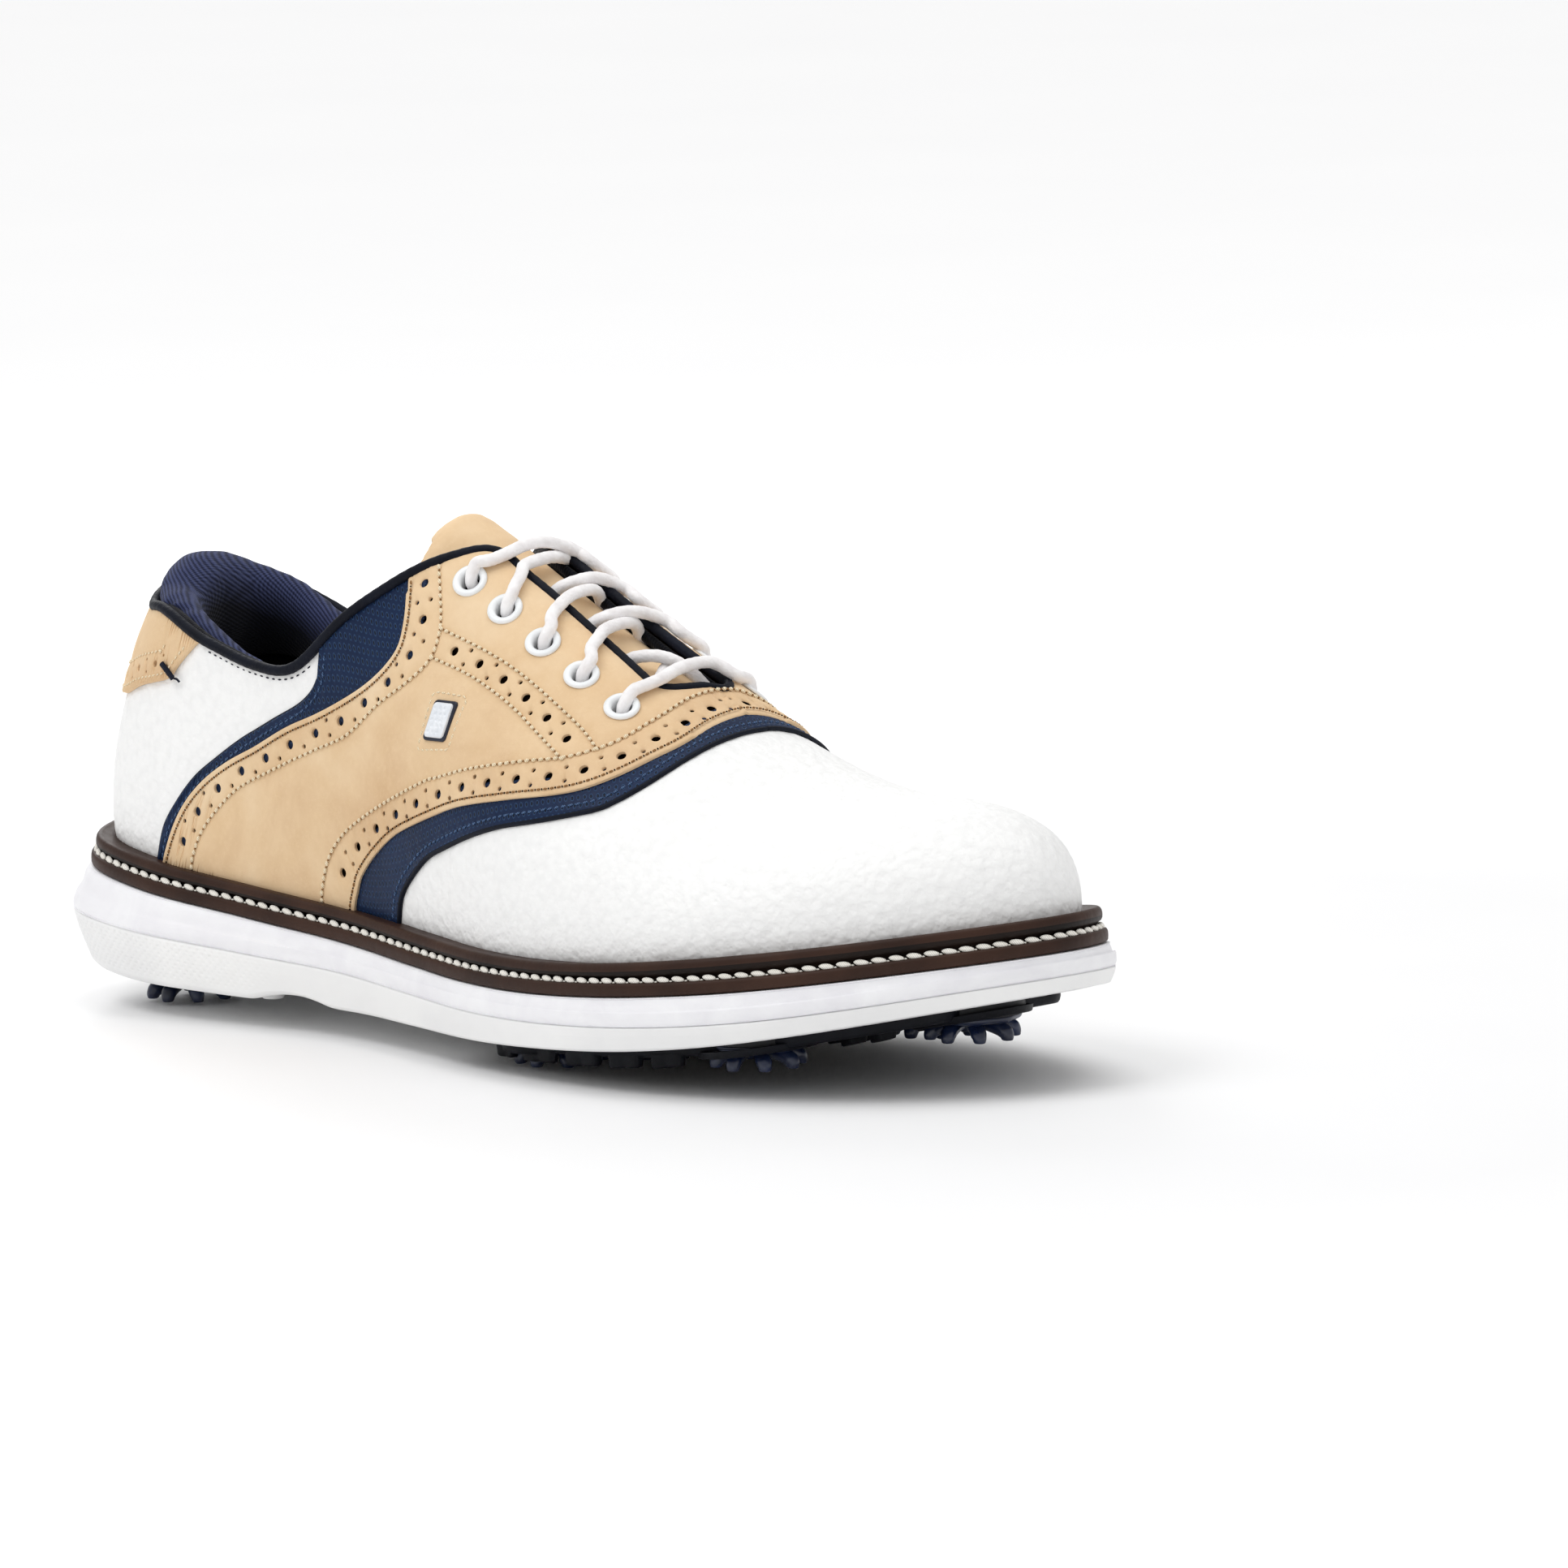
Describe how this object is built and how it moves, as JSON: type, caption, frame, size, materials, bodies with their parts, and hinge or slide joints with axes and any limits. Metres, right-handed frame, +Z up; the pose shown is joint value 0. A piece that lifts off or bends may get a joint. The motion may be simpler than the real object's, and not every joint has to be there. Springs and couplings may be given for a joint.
{
  "type": "golf shoe",
  "caption": "Right-foot saddle golf shoe: lasted leather upper with laced throat and padded collar on a stitched welt and a two-layer sole with turn-lock soft cleats.",
  "frame": {"origin": "on the ground under the middle of the sole's outline (centre of the footprint box)", "axes": "+X from heel to toe, +Y to the medial (inner) side, +Z up"},
  "size_m": [0.307, 0.1132, 0.1208],
  "materials": {
    "outsole_white": "satin moulded TPU",
    "midsole_foam": "matte wrinkled EVA foam",
    "tread_navy": "satin dark TPU",
    "receptacle_nylon": "matte",
    "welt_brown": "satin dark brown",
    "white_thread": "waxed thread",
    "board": "pressed fibre",
    "shank_steel": "brushed",
    "sockliner_textile": "brushed knit over foam",
    "lining_textile": "smooth knit",
    "stiffener": "resin felt",
    "white_leather": "pebbled, satin",
    "navy_perforated": "micro perforated, satin",
    "backing_felt": "felt",
    "tan_nubuck": "matte nubuck",
    "navy_piping": "woven binding",
    "collar_knit": "ribbed knit",
    "foam": "open cell foam",
    "eyelet_white": "enamelled",
    "lace_white": "waxed round braid",
    "emblem": "moulded rubber",
    "navy_thread": "thread",
    "cleat_tpu": "satin TPU"
  },
  "bodies": {
    "shoe": {"outsole": "outsole_white", "midsole": "midsole_foam", "traction_plate": "tread_navy", "cleat_receptacles": "receptacle_nylon", "welt": "welt_brown", "welt_stitching": "white_thread", "insole_board": "board", "shank": "shank_steel", "sockliner": "sockliner_textile", "lining": "lining_textile", "toe_puff": "stiffener", "heel_counter": "stiffener", "eyestay_reinforcement": "stiffener", "vamp": "white_leather", "back_quarter": "white_leather", "rear_underlay_lateral": "navy_perforated", "rear_underlay_medial": "navy_perforated", "saddle_backing": "backing_felt", "front_underlay": "navy_perforated", "saddle": "tan_nubuck", "heel_tab": "tan_nubuck", "topline_piping": "navy_piping", "collar_padding": "collar_knit", "eyelets": "eyelet_white", "lace": "lace_white", "side_emblem": "emblem", "bartacks": "navy_thread"},
    "tongue_flap": {"tongue": "tan_nubuck", "tongue_foam": "foam", "tongue_lining": "lining_textile"},
    "cleat_heel_lateral_spike": {"cleat_heel_lateral": "cleat_tpu"},
    "cleat_heel_medial_spike": {"cleat_heel_medial": "cleat_tpu"},
    "cleat_arch_lateral_spike": {"cleat_arch_lateral": "cleat_tpu"},
    "cleat_ball_lateral_spike": {"cleat_ball_lateral": "cleat_tpu"},
    "cleat_arch_medial_spike": {"cleat_arch_medial": "cleat_tpu"},
    "cleat_ball_medial_spike": {"cleat_ball_medial": "cleat_tpu"},
    "cleat_toe_spike": {"cleat_toe": "cleat_tpu"}
  },
  "joints": [
    {"name": "cleat_heel_lateral_turn", "type": "hinge", "parent": "shoe", "child": "cleat_heel_lateral_spike", "pos_m": [-0.1185, -0.0144, 0.0062], "axis": [0, 0, -1], "range_deg": [0, 90]},
    {"name": "cleat_heel_medial_turn", "type": "hinge", "parent": "shoe", "child": "cleat_heel_medial_spike", "pos_m": [-0.1175, 0.0166, 0.0062], "axis": [0, 0, -1], "range_deg": [0, 90]},
    {"name": "cleat_arch_lateral_turn", "type": "hinge", "parent": "shoe", "child": "cleat_arch_lateral_spike", "pos_m": [0.0275, -0.0304, 0.0062], "axis": [0, 0, -1], "range_deg": [0, 90]},
    {"name": "cleat_ball_lateral_turn", "type": "hinge", "parent": "shoe", "child": "cleat_ball_lateral_spike", "pos_m": [0.0915, -0.0294, 0.0112], "axis": [0, 0, -1], "range_deg": [0, 90]},
    {"name": "cleat_arch_medial_turn", "type": "hinge", "parent": "shoe", "child": "cleat_arch_medial_spike", "pos_m": [0.0335, 0.0256, 0.0062], "axis": [0, 0, -1], "range_deg": [0, 90]},
    {"name": "cleat_ball_medial_turn", "type": "hinge", "parent": "shoe", "child": "cleat_ball_medial_spike", "pos_m": [0.0885, 0.0306, 0.0108], "axis": [0, 0, -1], "range_deg": [0, 90]},
    {"name": "cleat_toe_turn", "type": "hinge", "parent": "shoe", "child": "cleat_toe_spike", "pos_m": [0.1225, 0.0086, 0.0156], "axis": [0, 0, -1], "range_deg": [0, 90]},
    {"name": "tongue_hinge", "type": "hinge", "parent": "shoe", "child": "tongue_flap", "pos_m": [0.0555, 0.0066, 0.072], "axis": [0, 1, 0], "range_deg": [-8, 0]}
  ]
}
